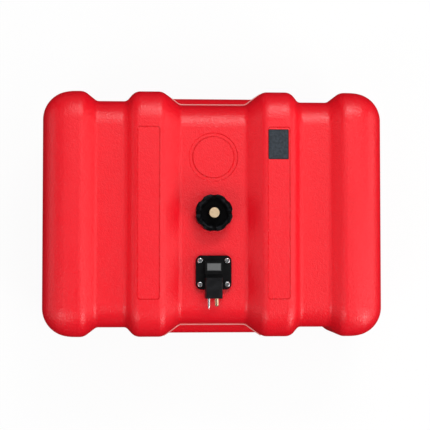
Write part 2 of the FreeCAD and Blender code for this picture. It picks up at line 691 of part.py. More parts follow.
def gauge_flange():
    plate = plate_body(PLATE_BOTTOM, PLATE_TOP, 0)
    plate = plate.makeChamfer(PLATE_EDGE, [edge for edge in plate.Edges
                                           if abs(edge.BoundBox.ZMin - PLATE_TOP) < 1e-3])
    spigot = upright(SPIGOT_RADIUS, SPIGOT_BOTTOM, PLATE_BOTTOM, 0, GAUGE_Y)
    tower = prism(rectangle(TOWER_HALF, GAUGE_Y + TOWER_STEP, GAUGE_Y + TOWER_FRONT, TOWER_CORNER),
                  in_xy, V(0, 0, TOWER_HEIGHT)).translated(V(0, 0, PLATE_TOP))
    step = box((-BLOCK_TOP_HALF, GAUGE_Y + BLOCK_BACK, PLATE_TOP),
               (BLOCK_TOP_HALF, GAUGE_Y + TOWER_STEP + TOWER_CORNER, TOWER_TOP - STEP_DROP))
    body = plate.multiFuse([spigot, tower, step])
    axis_y = GAUGE_Y + AXIS_Y
    cuts = [
        upright(DIAL_CHAMBER, BEARING_TOP, TOWER_TOP - ROOF, 0, axis_y),
        upright(SHAFT_RADIUS + RUNNING, PLATE_TOP - 1, BEARING_TOP + 1, 0, axis_y),
        upright(STRIP_CAVITY, SPIGOT_BOTTOM - 1, PLATE_TOP, 0, axis_y),
        upright(TUBE_OUTER + TUBE_HOLE_GAP, SPIGOT_BOTTOM - 1, PLATE_TOP + 1, TUBE_X, GAUGE_Y + TUBE_Y),
        window_space(0, TOWER_TOP - ROOF - 1, TOWER_TOP + 1),
        window_space(LENS_LIP, TOWER_TOP - LENS_THICK, TOWER_TOP + 1),
    ]
    cuts += rails(SPIGOT_BOTTOM - 1, SPIGOT_BOTTOM + SOCKET_DEPTH, SOCKET_GAP)
    cuts += [upright(SCREW_HOLE, PLATE_BOTTOM - 1, PLATE_TOP + 1, x, y) for x, y in screw_places()]
    return body.cut(cuts)


def flange_gasket():
    cuts = [upright(SCREW_HOLE, TOP - 1, PLATE_BOTTOM + 1, x, y) for x, y in screw_places()]
    cuts.append(upright(GAUGE_HOLE, TOP - 1, PLATE_BOTTOM + 1, 0, GAUGE_Y))
    return plate_body(TOP, PLATE_BOTTOM, GASKET_INSET).cut(cuts)


def flange_screws():
    head_top = PLATE_TOP + SCREW_HEAD_HEIGHT
    screws = []
    for x, y in screw_places():
        screw = turned([
            (0, PLATE_TOP - SCREW_LENGTH), (SCREW_SHANK, PLATE_TOP - SCREW_LENGTH), (SCREW_SHANK, PLATE_TOP),
            (SCREW_HEAD, PLATE_TOP), (SCREW_HEAD, head_top, SCREW_HEAD_HEIGHT / 2), (0, head_top),
        ], (x, y))
        for half_x, half_y in ((RECESS_SPAN / 2, RECESS_WIDTH / 2), (RECESS_WIDTH / 2, RECESS_SPAN / 2)):
            screw = screw.cut(box((x - half_x, y - half_y, head_top - RECESS_DEPTH),
                                  (x + half_x, y + half_y, head_top + 1)))
        screws.append(screw)
    return Part.makeCompound(screws)


def gauge_window():
    return window_space(LENS_LIP - LENS_GAP, TOWER_TOP - LENS_THICK, TOWER_TOP)


# ---------------------------------------------------------------- gauge works
def gauge_dial():
    thrust = BEARING_TOP + THRUST_GAP
    disc = thrust + DIAL_RISE
    dial = turned([
        (0, SHAFT_BOTTOM), (SHAFT_RADIUS, SHAFT_BOTTOM), (SHAFT_RADIUS, thrust), (DIAL_HUB, thrust),
        (DIAL_HUB, disc), (DIAL_RADIUS, disc), (DIAL_RADIUS, disc + DIAL_THICK), (0, disc + DIAL_THICK),
    ], (0, GAUGE_Y + AXIS_Y))
    half_x = TANG_WIDTH / 2 + TANG_GAP
    half_y = STRIP_THICK / 2 + TANG_GAP
    return dial.cut(box((-half_x, GAUGE_Y + AXIS_Y - half_y, SHAFT_BOTTOM - 1),
                        (half_x, GAUGE_Y + AXIS_Y + half_y, SHAFT_BOTTOM + TANG_LENGTH)))


def strip_angle(z):
    """Direction of the strip's width at a height, in degrees from +X; its top lies along X."""
    return (z - STRIP_TOP) / (STRIP_TOP - STRIP_BOTTOM) * STRIP_TURN


def gauge_spiral():
    sections = []
    for step in range(STRIP_STEPS + 1):
        z = STRIP_BOTTOM + (STRIP_TOP - STRIP_BOTTOM) * step / STRIP_STEPS
        section = outline(rectangle(STRIP_WIDTH / 2, -STRIP_THICK / 2, STRIP_THICK / 2, 0), in_xy)
        sections.append(section.rotated(V(0, 0, 0), V(0, 0, 1), strip_angle(z)).translated(V(0, 0, z)))
    strip = Part.makeLoft(sections, True, False)
    tang = box((-TANG_WIDTH / 2, -STRIP_THICK / 2, STRIP_TOP - STRIP_CLEAR),
               (TANG_WIDTH / 2, STRIP_THICK / 2, SHAFT_BOTTOM + TANG_LENGTH - TANG_GAP))
    pivot = upright(PIVOT_RADIUS, FOOT_TOP_FACE - PIVOT_LENGTH, STRIP_BOTTOM + STRIP_CLEAR)
    return strip.multiFuse([tang, pivot]).translated(V(0, GAUGE_Y + AXIS_Y, 0))


def gauge_frame():
    axis_y = GAUGE_Y + AXIS_Y
    foot = box((-FOOT_WIDTH / 2, axis_y - FOOT_LENGTH / 2, FOOT_BOTTOM),
               (FOOT_WIDTH / 2, axis_y + FOOT_LENGTH / 2, FOOT_TOP_FACE))
    frame = foot.multiFuse(rails(FOOT_BOTTOM, SPIGOT_BOTTOM + SOCKET_DEPTH, 0)).removeSplitter()
    pivot_hole = upright(PIVOT_RADIUS + RUNNING, FOOT_TOP_FACE - PIVOT_LENGTH, FOOT_TOP_FACE + 1, 0, axis_y)
    return frame.cut(pivot_hole)


def gauge_float():
    axis_y = GAUGE_Y + AXIS_Y
    top = FLOAT_BOTTOM + FLOAT_HEIGHT
    body = upright(FLOAT_RADIUS, FLOAT_BOTTOM, top, 0, axis_y + FLOAT_SHIFT)
    flat = box((-2 * FLOAT_RADIUS, GAUGE_Y - 4 * FLOAT_RADIUS, FLOAT_BOTTOM - 1),
               (2 * FLOAT_RADIUS, GAUGE_Y + FLOAT_FLAT, top + 1))
    driver_z = FLOAT_BOTTOM + FLOAT_HEIGHT / 2
    bore_low = upright(FLOAT_BORE, FLOAT_BOTTOM - 1, driver_z - DRIVER_THICK / 2, 0, axis_y)
    bore_high = upright(FLOAT_BORE, driver_z + DRIVER_THICK / 2, top + 1, 0, axis_y)
    slot = box((-STRIP_WIDTH / 2 - DRIVER_GAP, -STRIP_THICK / 2 - DRIVER_GAP, driver_z - DRIVER_THICK),
               (STRIP_WIDTH / 2 + DRIVER_GAP, STRIP_THICK / 2 + DRIVER_GAP, driver_z + DRIVER_THICK))
    slot = slot.rotated(V(0, 0, 0), V(0, 0, 1), strip_angle(driver_z)).translated(V(0, axis_y, 0))
    return body.cut([flat, bore_low, bore_high, slot] + rails(FLOAT_BOTTOM - 1, top + 1, FLOAT_GAP))


# ---------------------------------------------------------------- fuel pickup
def pickup_tube():
    low = TANK_FLOOR + TUBE_CLEAR
    high = PLATE_TOP + TUBE_IN_BLOCK
    y = GAUGE_Y + TUBE_Y
    return upright(TUBE_OUTER, low, high, TUBE_X, y).cut(upright(TUBE_BORE, low - 1, high + 1, TUBE_X, y))


def pickup_strainer():
    low = TANK_FLOOR + STRAINER_CLEAR
    high = low + STRAINER_HEIGHT
    inner = STRAINER_RADIUS - STRAINER_WALL
    collar = high - STRAINER_COLLAR
    cup = turned([
        (0, low), (STRAINER_RADIUS, low), (STRAINER_RADIUS, high), (TUBE_OUTER + TUBE_HOLE_GAP, high),
        (TUBE_OUTER + TUBE_HOLE_GAP, collar), (inner, collar), (inner, low + STRAINER_WALL),
        (0, low + STRAINER_WALL),
    ])
    slot = box((0, -STRAINER_SLOT / 2, low + 2 * STRAINER_WALL),
               (2 * STRAINER_RADIUS, STRAINER_SLOT / 2, collar - STRAINER_WALL))
    return cup.cut(around(slot, STRAINER_SLOTS)).translated(V(TUBE_X, GAUGE_Y + TUBE_Y, 0))


def tube_seal():
    y = GAUGE_Y + TUBE_Y
    return upright(SEAL_RING_OUTER, PLATE_TOP, PLATE_TOP + SEAL_RING_THICK, TUBE_X, y).cut(
        upright(TUBE_OUTER + PIN_GAP, PLATE_TOP - 1, PLATE_TOP + SEAL_RING_THICK + 1, TUBE_X, y))


# ---------------------------------------------------------------- connector
def connector_block():
    block = prism([
        (-BLOCK_HALF, PLATE_TOP), (BLOCK_HALF, PLATE_TOP),
        (BLOCK_TOP_HALF, PLATE_TOP + BLOCK_HEIGHT, BLOCK_ROUND),
        (-BLOCK_TOP_HALF, PLATE_TOP + BLOCK_HEIGHT, BLOCK_ROUND),
    ], in_xz, V(0, BLOCK_BACK - BLOCK_FRONT, 0)).translated(V(0, GAUGE_Y + BLOCK_FRONT, 0))
    y = GAUGE_Y + TUBE_Y
    nipple_end = NIPPLE_BACK + NIPPLE_SEAL_THICK
    return block.cut([
        upright(SEAL_RING_OUTER + PIN_GAP, PLATE_TOP - 1, PLATE_TOP + SEAL_RING_THICK, TUBE_X, y),
        upright(TUBE_OUTER + TUBE_HOLE_GAP, PLATE_TOP - 1, PLATE_TOP + TUBE_IN_BLOCK, TUBE_X, y),
        upright(TUBE_BORE, PLATE_TOP - 1, PIN_Z, TUBE_X, y),
        lengthwise(TUBE_BORE, BLOCK_FRONT - 1, TUBE_Y, TUBE_X, PIN_Z),
        lengthwise(NIPPLE_SHANK + PIN_GAP, BLOCK_FRONT - 1, nipple_end, TUBE_X, PIN_Z),
        lengthwise(LOCATOR_SHANK + PIN_GAP, BLOCK_FRONT - 1, LOCATOR_BACK, LOCATOR_X, PIN_Z),
    ])


def along_pin(points, x):
    """Solid of revolution about a connector pin's axis, from points (radius, y from the plate's middle)."""
    body = Part.Face(outline(points, in_xy)).revolve(V(0, 0, 0), V(0, 1, 0), 360)
    return body.translated(V(x, GAUGE_Y, PIN_Z))


def fuel_nipple():
    nipple = along_pin([
        (NIPPLE_PASSAGE, NIPPLE_BACK), (NIPPLE_SHANK, NIPPLE_BACK), (NIPPLE_SHANK, BLOCK_FRONT + PIN_GAP),
        (NIPPLE_RADIUS, BLOCK_FRONT + PIN_GAP), (NIPPLE_RADIUS, NIPPLE_TIP + NIPPLE_CONE),
        (NIPPLE_RADIUS - NIPPLE_CONE, NIPPLE_TIP), (VALVE_HOLE, NIPPLE_TIP), (VALVE_HOLE, VALVE_SEAT),
        (PLUNGER_RADIUS + RUNNING, VALVE_SEAT), (PLUNGER_RADIUS + RUNNING, SPRING_SEAT),
        (NIPPLE_PASSAGE, SPRING_SEAT),
    ], TUBE_X)
    return nipple.cut(upright(SIDE_HOLE, PIN_Z, PIN_Z + 2 * NIPPLE_RADIUS, TUBE_X, GAUGE_Y + SIDE_HOLE_Y))


def nipple_seal():
    front = NIPPLE_BACK + NIPPLE_SEAL_THICK
    return along_pin([
        (NIPPLE_SEAL_INNER, NIPPLE_BACK), (NIPPLE_SHANK, NIPPLE_BACK), (NIPPLE_SHANK, front),
        (NIPPLE_SEAL_INNER, front),
    ], TUBE_X)


def check_plunger():
    return along_pin([
        (0, VALVE_SEAT + PLUNGER_LENGTH), (PLUNGER_RADIUS, VALVE_SEAT + PLUNGER_LENGTH),
        (PLUNGER_RADIUS, VALVE_SEAT), (PLUNGER_NOSE, VALVE_SEAT), (PLUNGER_NOSE, VALVE_SEAT - NOSE_LENGTH),
        (0, VALVE_SEAT - NOSE_LENGTH),
    ], TUBE_X)


def check_spring():
    length = SPRING_SEAT - VALVE_SEAT - PLUNGER_LENGTH - 2 * SPRING_WIRE
    helix = Part.makeHelix(length / SPRING_TURNS, length, SPRING_COIL)
    wire = Part.Wire(Part.makeCircle(SPRING_WIRE, V(SPRING_COIL, 0, 0), V(0, 1, 0)))
    coil = Part.Wire(helix).makePipeShell([wire], True, True)
    coil.rotate(V(0, 0, 0), V(1, 0, 0), -90)
    return coil.translated(V(TUBE_X, GAUGE_Y + VALVE_SEAT + PLUNGER_LENGTH + SPRING_WIRE, PIN_Z))


def locating_pin():
    return along_pin([
        (0, LOCATOR_BACK), (LOCATOR_SHANK, LOCATOR_BACK), (LOCATOR_SHANK, BLOCK_FRONT + PIN_GAP),
        (LOCATOR_RADIUS, BLOCK_FRONT + PIN_GAP), (LOCATOR_RADIUS, LOCATOR_TIP + LOCATOR_CONE),
        (LOCATOR_POINT, LOCATOR_TIP), (0, LOCATOR_TIP),
    ], LOCATOR_X)


# ---------------------------------------------------------------- all pieces
PIECES = [
    tank_shell, gauge_inserts,
    filler_cap, cap_gasket, vent_bush, vent_seal, vent_screw,
    gauge_flange, flange_gasket, flange_screws, gauge_window,
    gauge_dial, gauge_spiral, gauge_frame, gauge_float,
    pickup_tube, pickup_strainer, tube_seal,
    connector_block, fuel_nipple, nipple_seal, check_plunger, check_spring, locating_pin,
]

os.makedirs("parts", exist_ok=True)
for piece in PIECES:
    save(piece.__name__, piece())
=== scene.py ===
import math

import bmesh
import bpy
from mathutils import Matrix, Vector


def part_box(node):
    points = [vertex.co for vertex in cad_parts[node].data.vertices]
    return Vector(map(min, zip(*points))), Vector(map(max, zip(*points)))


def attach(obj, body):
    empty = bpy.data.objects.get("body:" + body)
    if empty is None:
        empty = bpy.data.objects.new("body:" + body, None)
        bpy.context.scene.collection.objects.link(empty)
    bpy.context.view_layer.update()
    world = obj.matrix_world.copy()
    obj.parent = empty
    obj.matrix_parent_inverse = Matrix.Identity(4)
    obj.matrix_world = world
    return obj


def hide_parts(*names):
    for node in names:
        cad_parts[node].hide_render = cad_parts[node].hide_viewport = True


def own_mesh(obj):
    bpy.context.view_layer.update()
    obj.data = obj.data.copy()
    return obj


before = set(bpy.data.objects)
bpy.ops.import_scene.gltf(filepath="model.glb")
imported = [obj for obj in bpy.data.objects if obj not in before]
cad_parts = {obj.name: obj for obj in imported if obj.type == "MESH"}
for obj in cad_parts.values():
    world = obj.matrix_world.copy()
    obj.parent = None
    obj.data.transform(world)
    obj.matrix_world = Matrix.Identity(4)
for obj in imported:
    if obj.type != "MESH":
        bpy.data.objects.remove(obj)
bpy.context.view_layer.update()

MM = 0.001

# ---------------------------------------------------------------- places and sizes, in metres
PARTING = 174 * MM                      # height of the mould's parting line
RING_CENTRE_Y = 98 * MM                 # blank ring, a shallow groove in the top
RING_INNER = 36.0 * MM
RING_OUTER = 42.5 * MM
PANEL_MIDDLE = 112.65 * MM              # sunk bare panels, one on either side
PANEL_HALF = (19.45 * MM, 149.0 * MM)
PANEL_CORNER = 5.0 * MM
PANEL_FLOOR = 238.8 * MM
TOP_FROM = 205 * MM                     # ring and panels are above this height

# Lines of painted shade at the feet of the steps on the top, and the parting line's ridge: place
# and half width
PANEL_LINE = (PANEL_CORNER - 0.6 * MM, 1.6 * MM)
INNER_LINE = (RING_INNER + 0.2 * MM, 1.8 * MM)
OUTER_LINE = (RING_OUTER, 1.5 * MM)
PARTING_LINE = (PARTING, 1.1 * MM)
LINE_CORE = 0.35                        # share of the half width that is at full strength

DISH_EDGE = (20.0 * MM, 25.0 * MM)      # radii from which the cap's dish gives way to its rim
NOTCH_EDGE = (2.2 * MM, 3.2 * MM)       # half width of the rim's notches, to the rim in full
CAP = (0.0, 0.0)                        # x and y of upright axes
GAUGE = (0.0, -103 * MM)
TUBE = (4.8 * MM, -118.5 * MM)
FUEL_PIN = (4.8 * MM, 234 * MM)         # x and z of axes along Y
LOCATING_PIN = (-8.8 * MM, 234 * MM)
TURNED_PITCH = 0.22 * MM                # marks of the lathe
# width of the painted shade at a turned part's outer edge
EDGE_SHADE_WIDTH = 0.8 * MM
GAUZE_WIRES = 44.0                      # upright wires of the strainer
GAUZE_PITCH = 0.8 * MM                  # its level wires
LENS_SEAT = 1.2 * MM                    # edge of the lens that lies on the housing
SEAT_EDGE = (-0.2 * MM, 0.2 * MM)

LABEL = (111.7 * MM, 118.9 * MM)
LABEL_HALF = (17.6 * MM, 25.9 * MM)
LABEL_CORNER = 1.6 * MM
LABEL_LAYERS = ((0.02 * MM, 0.0), (0.30 * MM, 0.0), (0.42 * MM, 0.14 * MM))    # rise and inset
LABEL_CUT = (-1.5 * MM, -0.9 * MM)      # darker edge, from the label's outline
CORNER_STEPS = 8                        # of a quarter turn

BEAD_RADIUS = 1.3 * MM
BEAD_OFF_WALL = 0.9                     # this and the wall's points in millimetres
BEAD_WALL = [(86.2, 213.7), (80.0, 209.9), (64.0, 198.5),
             (58.5, 194.3), (50.0, 194.1), (24.0, 194.1)]
BEAD_MIDDLE = (0.0, 194.1)

SPRING_WIRE = 0.3 * MM                  # radius of the wire
SPRING_TURNS = 7
TURN_STEPS = 24
WIRE_SIDES = 8

# ---------------------------------------------------------------- colours, linear
RED = (0.91, 0.0020, 0.0125)
RED_CLOUDS = (0.95, 0.0030, 0.0155)
RED_FLECKS = (0.72, 0.0012, 0.0085)
# painted shade at the feet of the steps on the top
RED_PAINTED_SHADE = (0.66, 0.0003, 0.0040)
BLACK = (0.0026, 0.0026, 0.0030)
BLOCK_BLACK = (0.0085, 0.0085, 0.0095)
# painted shade: the darker black of the cap's dish and notches
CAP_DISH_SHADE = (0.0009, 0.0009, 0.0011)
CAP_RIM = (0.0010, 0.0010, 0.0014)
CAP_WORN = (0.0150, 0.0158, 0.0185)
BRASS = (0.80, 0.61, 0.40)
BRASS_DARK = (0.58, 0.41, 0.24)
# painted shade at the vent screw's outer edge
PAINTED_EDGE_SHADE = (0.10, 0.07, 0.04)
STEEL = (0.74, 0.75, 0.77)
STEEL_DARK = (0.52, 0.53, 0.55)
RUBBER = (0.012, 0.012, 0.012)
RUBBER_PALE = (0.026, 0.025, 0.024)
LENS_GREY = (0.185, 0.187, 0.190)
LENS_PALE = (0.225, 0.227, 0.231)
LENS_EDGE = (0.006, 0.006, 0.007)
DIAL_WHITE = (0.80, 0.79, 0.76)
DIAL_SHADE = (0.704, 0.6952, 0.6688)
FOAM = (0.030, 0.029, 0.028)
FOAM_DARK = (0.012, 0.012, 0.012)
GAUZE_PALE = (0.70, 0.69, 0.66)
GAUZE_DARK = (0.42, 0.41, 0.39)
LABEL_FILM = (0.018, 0.023, 0.029)
LABEL_WORN = (0.042, 0.053, 0.067)
LABEL_EDGE = (0.0030, 0.0038, 0.0046)
# pale pinks of the lip beads: painted highlight along the lips' edges
BEAD_HIGHLIGHT_RED = (0.92, 0.28, 0.26)
BEAD_HIGHLIGHT_PALE = (0.90, 0.46, 0.43)
FLOOR_WHITE = (0.95, 0.95, 0.95)
FLOOR_DARK = (0.03, 0.03, 0.03)
WHITE = (1, 1, 1, 1)

# ---------------------------------------------------------------- finishes
FLECKS = (0.0, 0.16)                    # share of the red that is flecked
STEP_SHADE = 0.5                        # share of the painted shade colour at the foot of a step
STEP_SHINE = 0.65                       # share of the roughness that is lost there
OUTER_SHADE = 0.5                       # strength of the painted shade at the ring's outer foot
RED_ROUGHNESS = (0.33, 0.41)
RED_BUMPS = ((11.0, 1.1, 0.35), (70.0, 0.16, 0.5), (240.0, 0.42, 0.8))    # for Shader.grain
CAP_ROUGHNESS = (0.85, 0.30)            # in the dish and on the rim
LABEL_ROUGHNESS = (0.34, 0.46)
WORN_PALER = 1.9                        # worn black plastic against fresh
TARNISH = (0.0, 0.55)
# share of the painted shade, from inside the vent screw's edge out to the edge
EDGE_SHADE_SHARE = (0.0, 0.8)
NOISE_RANGE = (0.3, 0.7)                # most of the noise is within it
WEAVE_RANGE = (-0.4, 0.4)
PLASTIC_IOR = 1.5
LENS_IOR = 1.49
FOAM_IOR = 1.45

MIX_INPUTS = (0, 6, 7)                  # share and both colours, among all inputs of a Mix node
MIX_OUTPUT = 2


class Shader:
    """A node material in the making: a principled shader and what feeds it."""

    def __init__(self, name):
        self.material = bpy.data.materials.new(name)
        self.material.use_nodes = True
        self.tree = self.material.node_tree
        self.tree.nodes.clear()
        self.output = self.node("OutputMaterial")
        self.shader = self.node("BsdfPrincipled")
        self.link(self.shader.outputs["BSDF"], self.output.inputs["Surface"])
        self.place = self.node("TexCoord").outputs["Object"]
        self.normal = None

    def node(self, kind, **settings):
        """A new node of a kind, with its settings."""
        made = self.tree.nodes.new("ShaderNode" + kind)
        for name, value in settings.items():
            setattr(made, name, value)
        return made

    def link(self, source, target):
        self.tree.links.new(source, target)

    def feed(self, target, value):
        """Give an input its value: another node's output, a number or a colour."""
        if isinstance(value, bpy.types.NodeSocket):
            self.link(value, target)
        else:
            target.default_value = (*value, 1) if isinstance(value, tuple) else value

    def fill(self, made, **values):
        """The node with inputs fed by name, _ standing for a space."""
        for name, value in values.items():
            self.feed(made.inputs[name.replace("_", " ")], value)
        return made

    def set(self, **values):
        """Feed inputs of the principled shader."""
        self.fill(self.shader, **values)

    def axes(self):
        """x, y and z of the place on the object."""
        split = self.node("SeparateXYZ")
        self.link(self.place, split.inputs[0])
        return tuple(split.outputs)

    def math(self, operation, *values):
        """Result of a Math node."""
        made = self.node("Math", operation=operation)
        for socket, value in zip(made.inputs, values):
            self.feed(socket, value)
        return made.outputs[0]

    def distance(self, a, b):
        """Length of the flat vector (a, b)."""
        squares = self.math("ADD", self.math("MULTIPLY", a, a), self.math("MULTIPLY", b, b))
        return self.math("SQRT", squares)

    def past(self, value, middle, half):
        """How far value is past half a width from the middle, negative within it."""
        away = self.math("ABSOLUTE", self.math("SUBTRACT", value, middle))
        return self.math("SUBTRACT", away, half)

    def outside(self, middle, half):
        """How far the place is outside a rectangle seen from above, negative within it."""
        x, y, _ = self.axes()
        past_x, past_y = (self.past(*values) for values in zip((x, y), middle, half))
        return self.math("MAXIMUM", past_x, past_y)

    def waves(self, value, rate):
        """Sine waves, rate radians to a unit of value."""
        return self.math("SINE", self.math("MULTIPLY", value, rate))

    def noise(self, scale, detail=2.0, roughness=0.5):
        """Soft noise; at scale 1 its patches are about a metre wide."""
        made = self.node("TexNoise")
        self.fill(made, Vector=self.place, Scale=scale, Detail=detail, Roughness=roughness)
        return made.outputs["Fac"]

    def cells(self, scale, smooth=0.4):
        """Distance from the middle of rounded cells."""
        made = self.node("TexVoronoi", feature="SMOOTH_F1")
        self.fill(made, Vector=self.place, Scale=scale, Smoothness=smooth)
        return made.outputs["Distance"]

    def spread(self, value, low, high, to_low=0.0, to_high=1.0):
        """value with the range from low to high mapped on that from to_low to to_high."""
        made = self.node("MapRange")
        for socket, number in zip(made.inputs, (value, low, high, to_low, to_high)):
            self.feed(socket, number)
        return made.outputs[0]

    def clouds(self, scale, detail, over=NOISE_RANGE, to=(0.0, 1.0), roughness=0.5):
        """Noise, with the range called over mapped on the range called to."""
        return self.spread(self.noise(scale, detail, roughness), *over, *to)

    def mix(self, share, a, b):
        """Colour a where share is 0, turning to colour b where it is 1."""
        made = self.node("Mix", data_type="RGBA")
        for number, value in zip(MIX_INPUTS, (share, a, b)):
            self.feed(made.inputs[number], value)
        return made.outputs[MIX_OUTPUT]

    def bump(self, height, distance, strength):
        """A layer of bumps on top of the layers before."""
        made = self.fill(self.node("Bump"), Strength=strength, Distance=distance, Height=height)
        if self.normal:
            self.link(self.normal, made.inputs["Normal"])
        self.normal = made.outputs["Normal"]

    def grain(self, scale, depth, strength=0.5, detail=2.0):
        """A layer of noise as bumps, its depth in millimetres."""
        self.bump(self.noise(scale, detail), depth * MM, strength)

    def done(self):
        """The material, with its bumps."""
        if self.normal:
            self.link(self.normal, self.shader.inputs["Normal"])
        return self.material


def line_at(s, value, place, half_width):
    """1 where value is near place, falling to 0 at half_width from it."""
    away = s.math("ABSOLUTE", s.math("SUBTRACT", value, place))
    return s.spread(away, LINE_CORE * half_width, half_width, 1.0, 0.0)


def painted_step_shade(s, x, y, z):
    """Painted shade at the feet of the moulded steps on the top: the two panels and the blank
    ring.
    """
    across = s.past(s.math("ABSOLUTE", x), PANEL_MIDDLE, PANEL_HALF[0] - PANEL_CORNER)
    along = s.past(y, 0.0, PANEL_HALF[1] - PANEL_CORNER)
    corner = s.distance(s.math("MAXIMUM", across, 0.0), s.math("MAXIMUM", along, 0.0))
    inside = s.math("MINIMUM", s.math("MAXIMUM", across, along), 0.0)
    panels = line_at(s, s.math("ADD", corner, inside), *PANEL_LINE)
    radius = s.distance(x, s.math("SUBTRACT", y, RING_CENTRE_Y))
    inner = line_at(s, radius, *INNER_LINE)
    outer = s.math("MULTIPLY", line_at(s, radius, *OUTER_LINE), OUTER_SHADE)
    lines = s.math("MAXIMUM", panels, s.math("MAXIMUM", inner, outer))
    return s.math("MULTIPLY", lines, s.math("GREATER_THAN", z, TOP_FROM))


def red_polyethylene():
    """Clouded and flecked red with an uneven skin, painted shade at the feet of the steps on the
    top, and a slight ridge along the parting line.
    """
    s = Shader("red_polyethylene")
    x, y, z = s.axes()
    # steps: mask of the painted shade at the feet of the steps on the top
    steps = painted_step_shade(s, x, y, z)
    base = s.mix(s.clouds(7.0, detail=3.0), RED, RED_CLOUDS)
    base = s.mix(s.clouds(300.0, detail=3.0, over=(0.35, 0.65), to=FLECKS), base, RED_FLECKS)
    # painted shade: the feet of the steps turn to a darker red
    base = s.mix(s.math("MULTIPLY", steps, STEP_SHADE), base, RED_PAINTED_SHADE)
    shine = s.math("SUBTRACT", 1.0, s.math("MULTIPLY", steps, STEP_SHINE))
    roughness = s.math("MULTIPLY", s.clouds(60.0, detail=3.0, to=RED_ROUGHNESS), shine)
    s.set(Base_Color=base, Roughness=roughness, IOR=PLASTIC_IOR, Specular_IOR_Level=0.55)
    for scale, depth, strength in RED_BUMPS:
        s.grain(scale, depth, strength)
    s.bump(s.cells(430.0), distance=0.50 * MM, strength=0.8)
    s.bump(line_at(s, z, *PARTING_LINE), distance=0.5 * MM, strength=0.8)
    return s.done()


def black_plastic(name, base, roughness):
    """Black plastic with paler, worn patches."""
    s = Shader(name)
    pale = tuple(WORN_PALER * part for part in base)
    s.set(Base_Color=s.mix(s.clouds(90.0, detail=4.0, over=(0.45, 0.75)), base, pale),
          Roughness=s.clouds(160.0, detail=4.0, to=(roughness - 0.07, roughness + 0.10)),
          IOR=PLASTIC_IOR, Specular_IOR_Level=0.12)
    s.grain(1300.0, depth=0.06)
    return s.done()


def cap_plastic():
    """Black cap: glossier on its worn rim, dull down in the dish and in the rim's notches, which
    keep a darker black as painted shade.
    """
    s = Shader("black_cap_plastic")
    x, y, _ = s.axes()
    nearest = s.math("MINIMUM", s.math("ABSOLUTE", x), s.math("ABSOLUTE", y))
    off_dish = s.spread(s.distance(x, y), *DISH_EDGE)
    rim = s.math("MULTIPLY", off_dish, s.spread(nearest, *NOTCH_EDGE))
    worn = s.mix(s.clouds(150.0, detail=4.0, over=(0.46, 0.68)), CAP_RIM, CAP_WORN)
    # painted shade: the dish and the rim's notches stay darker than the worn rim
    s.set(Base_Color=s.mix(rim, CAP_DISH_SHADE, worn), Roughness=s.spread(rim, 0.0, 1.0, *CAP_ROUGHNESS),
          IOR=PLASTIC_IOR, Specular_IOR_Level=0.08)
    s.grain(160.0, depth=0.22, detail=3.0)
    s.grain(1300.0, depth=0.06)
    return s.done()


def turned_metal(name, colours, centre, roughness, axis="Z", depth=0.02, shade_radius=None):
    """Metal turned on a lathe, on an axis along Z or Y: fine rings and slight tarnish.

    depth is that of the rings, in millimetres; the last argument is the radius of an outer edge
    darkened as painted shade, if any.
    """
    s = Shader(name)
    x, y, z = s.axes()
    side, length = (y, z) if axis == "Z" else (z, y)
    radius = s.distance(s.math("SUBTRACT", x, centre[0]), s.math("SUBTRACT", side, centre[1]))
    finish = s.mix(s.clouds(350.0, detail=4.0, over=(0.35, 0.75), to=TARNISH), *colours)
    # painted shade: the outer edge darkens to a dark brown
    if shade_radius:
        edge_shade = s.spread(radius, shade_radius - EDGE_SHADE_WIDTH, shade_radius, *EDGE_SHADE_SHARE)
        finish = s.mix(edge_shade, finish, PAINTED_EDGE_SHADE)
    s.set(Base_Color=finish, Metallic=1.0,
          Roughness=s.clouds(500.0, detail=3.0, to=(roughness - 0.06, roughness + 0.10)))
    rings = s.waves(s.math("ADD", radius, length), 2 * math.pi / TURNED_PITCH)
    s.bump(rings, depth * MM, strength=0.5)
    return s.done()


def mottled(name, colours, scale, roughness, grain):
    """Two shades in soft noise of a scale, with one roughness and a grain."""
    s = Shader(name)
    shades = s.mix(s.noise(scale, detail=3.0), *colours)
    s.set(Base_Color=shades, Roughness=roughness, IOR=PLASTIC_IOR)
    s.grain(*grain)
    return s.done()


def grey_lens():
    """Grey lens, dark where its edge lies on the black housing."""
    s = Shader("grey_lens")
    low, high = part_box("gauge_window")
    middle = [(near + far) / 2 for near, far in zip(low, high)]
    half = [(far - near) / 2 - LENS_SEAT for near, far in zip(low, high)]
    seat = s.spread(s.outside(middle, half), *SEAT_EDGE)
    grey = s.mix(s.noise(120.0), LENS_GREY, LENS_PALE)
    s.set(Base_Color=s.mix(seat, grey, LENS_EDGE), Roughness=0.30, IOR=LENS_IOR,
          Transmission_Weight=0.35)
    s.grain(700.0, depth=0.02, strength=0.4)
    return s.done()


def float_foam():
    """Black foam of small bubbles."""
    s = Shader("float_foam")
    bubbles = s.cells(900.0, smooth=0.2)
    s.set(Base_Color=s.mix(bubbles, FOAM, FOAM_DARK), Roughness=0.85, IOR=FOAM_IOR)
    s.bump(bubbles, distance=0.25 * MM, strength=0.7)
    return s.done()


def strainer_gauze():
    """Pale gauze woven round the pickup tube."""
    s = Shader("strainer_gauze")
    x, y, z = s.axes()
    turn = s.math("ARCTAN2", s.math("SUBTRACT", y, TUBE[1]), s.math("SUBTRACT", x, TUBE[0]))
    weave = s.math("MULTIPLY", s.waves(turn, GAUZE_WIRES), s.waves(z, 2 * math.pi / GAUZE_PITCH))
    shades = s.mix(s.spread(weave, *WEAVE_RANGE), GAUZE_PALE, GAUZE_DARK)
    s.set(Base_Color=shades, Roughness=0.5, IOR=PLASTIC_IOR)
    s.bump(weave, distance=0.12 * MM, strength=0.7)
    return s.done()


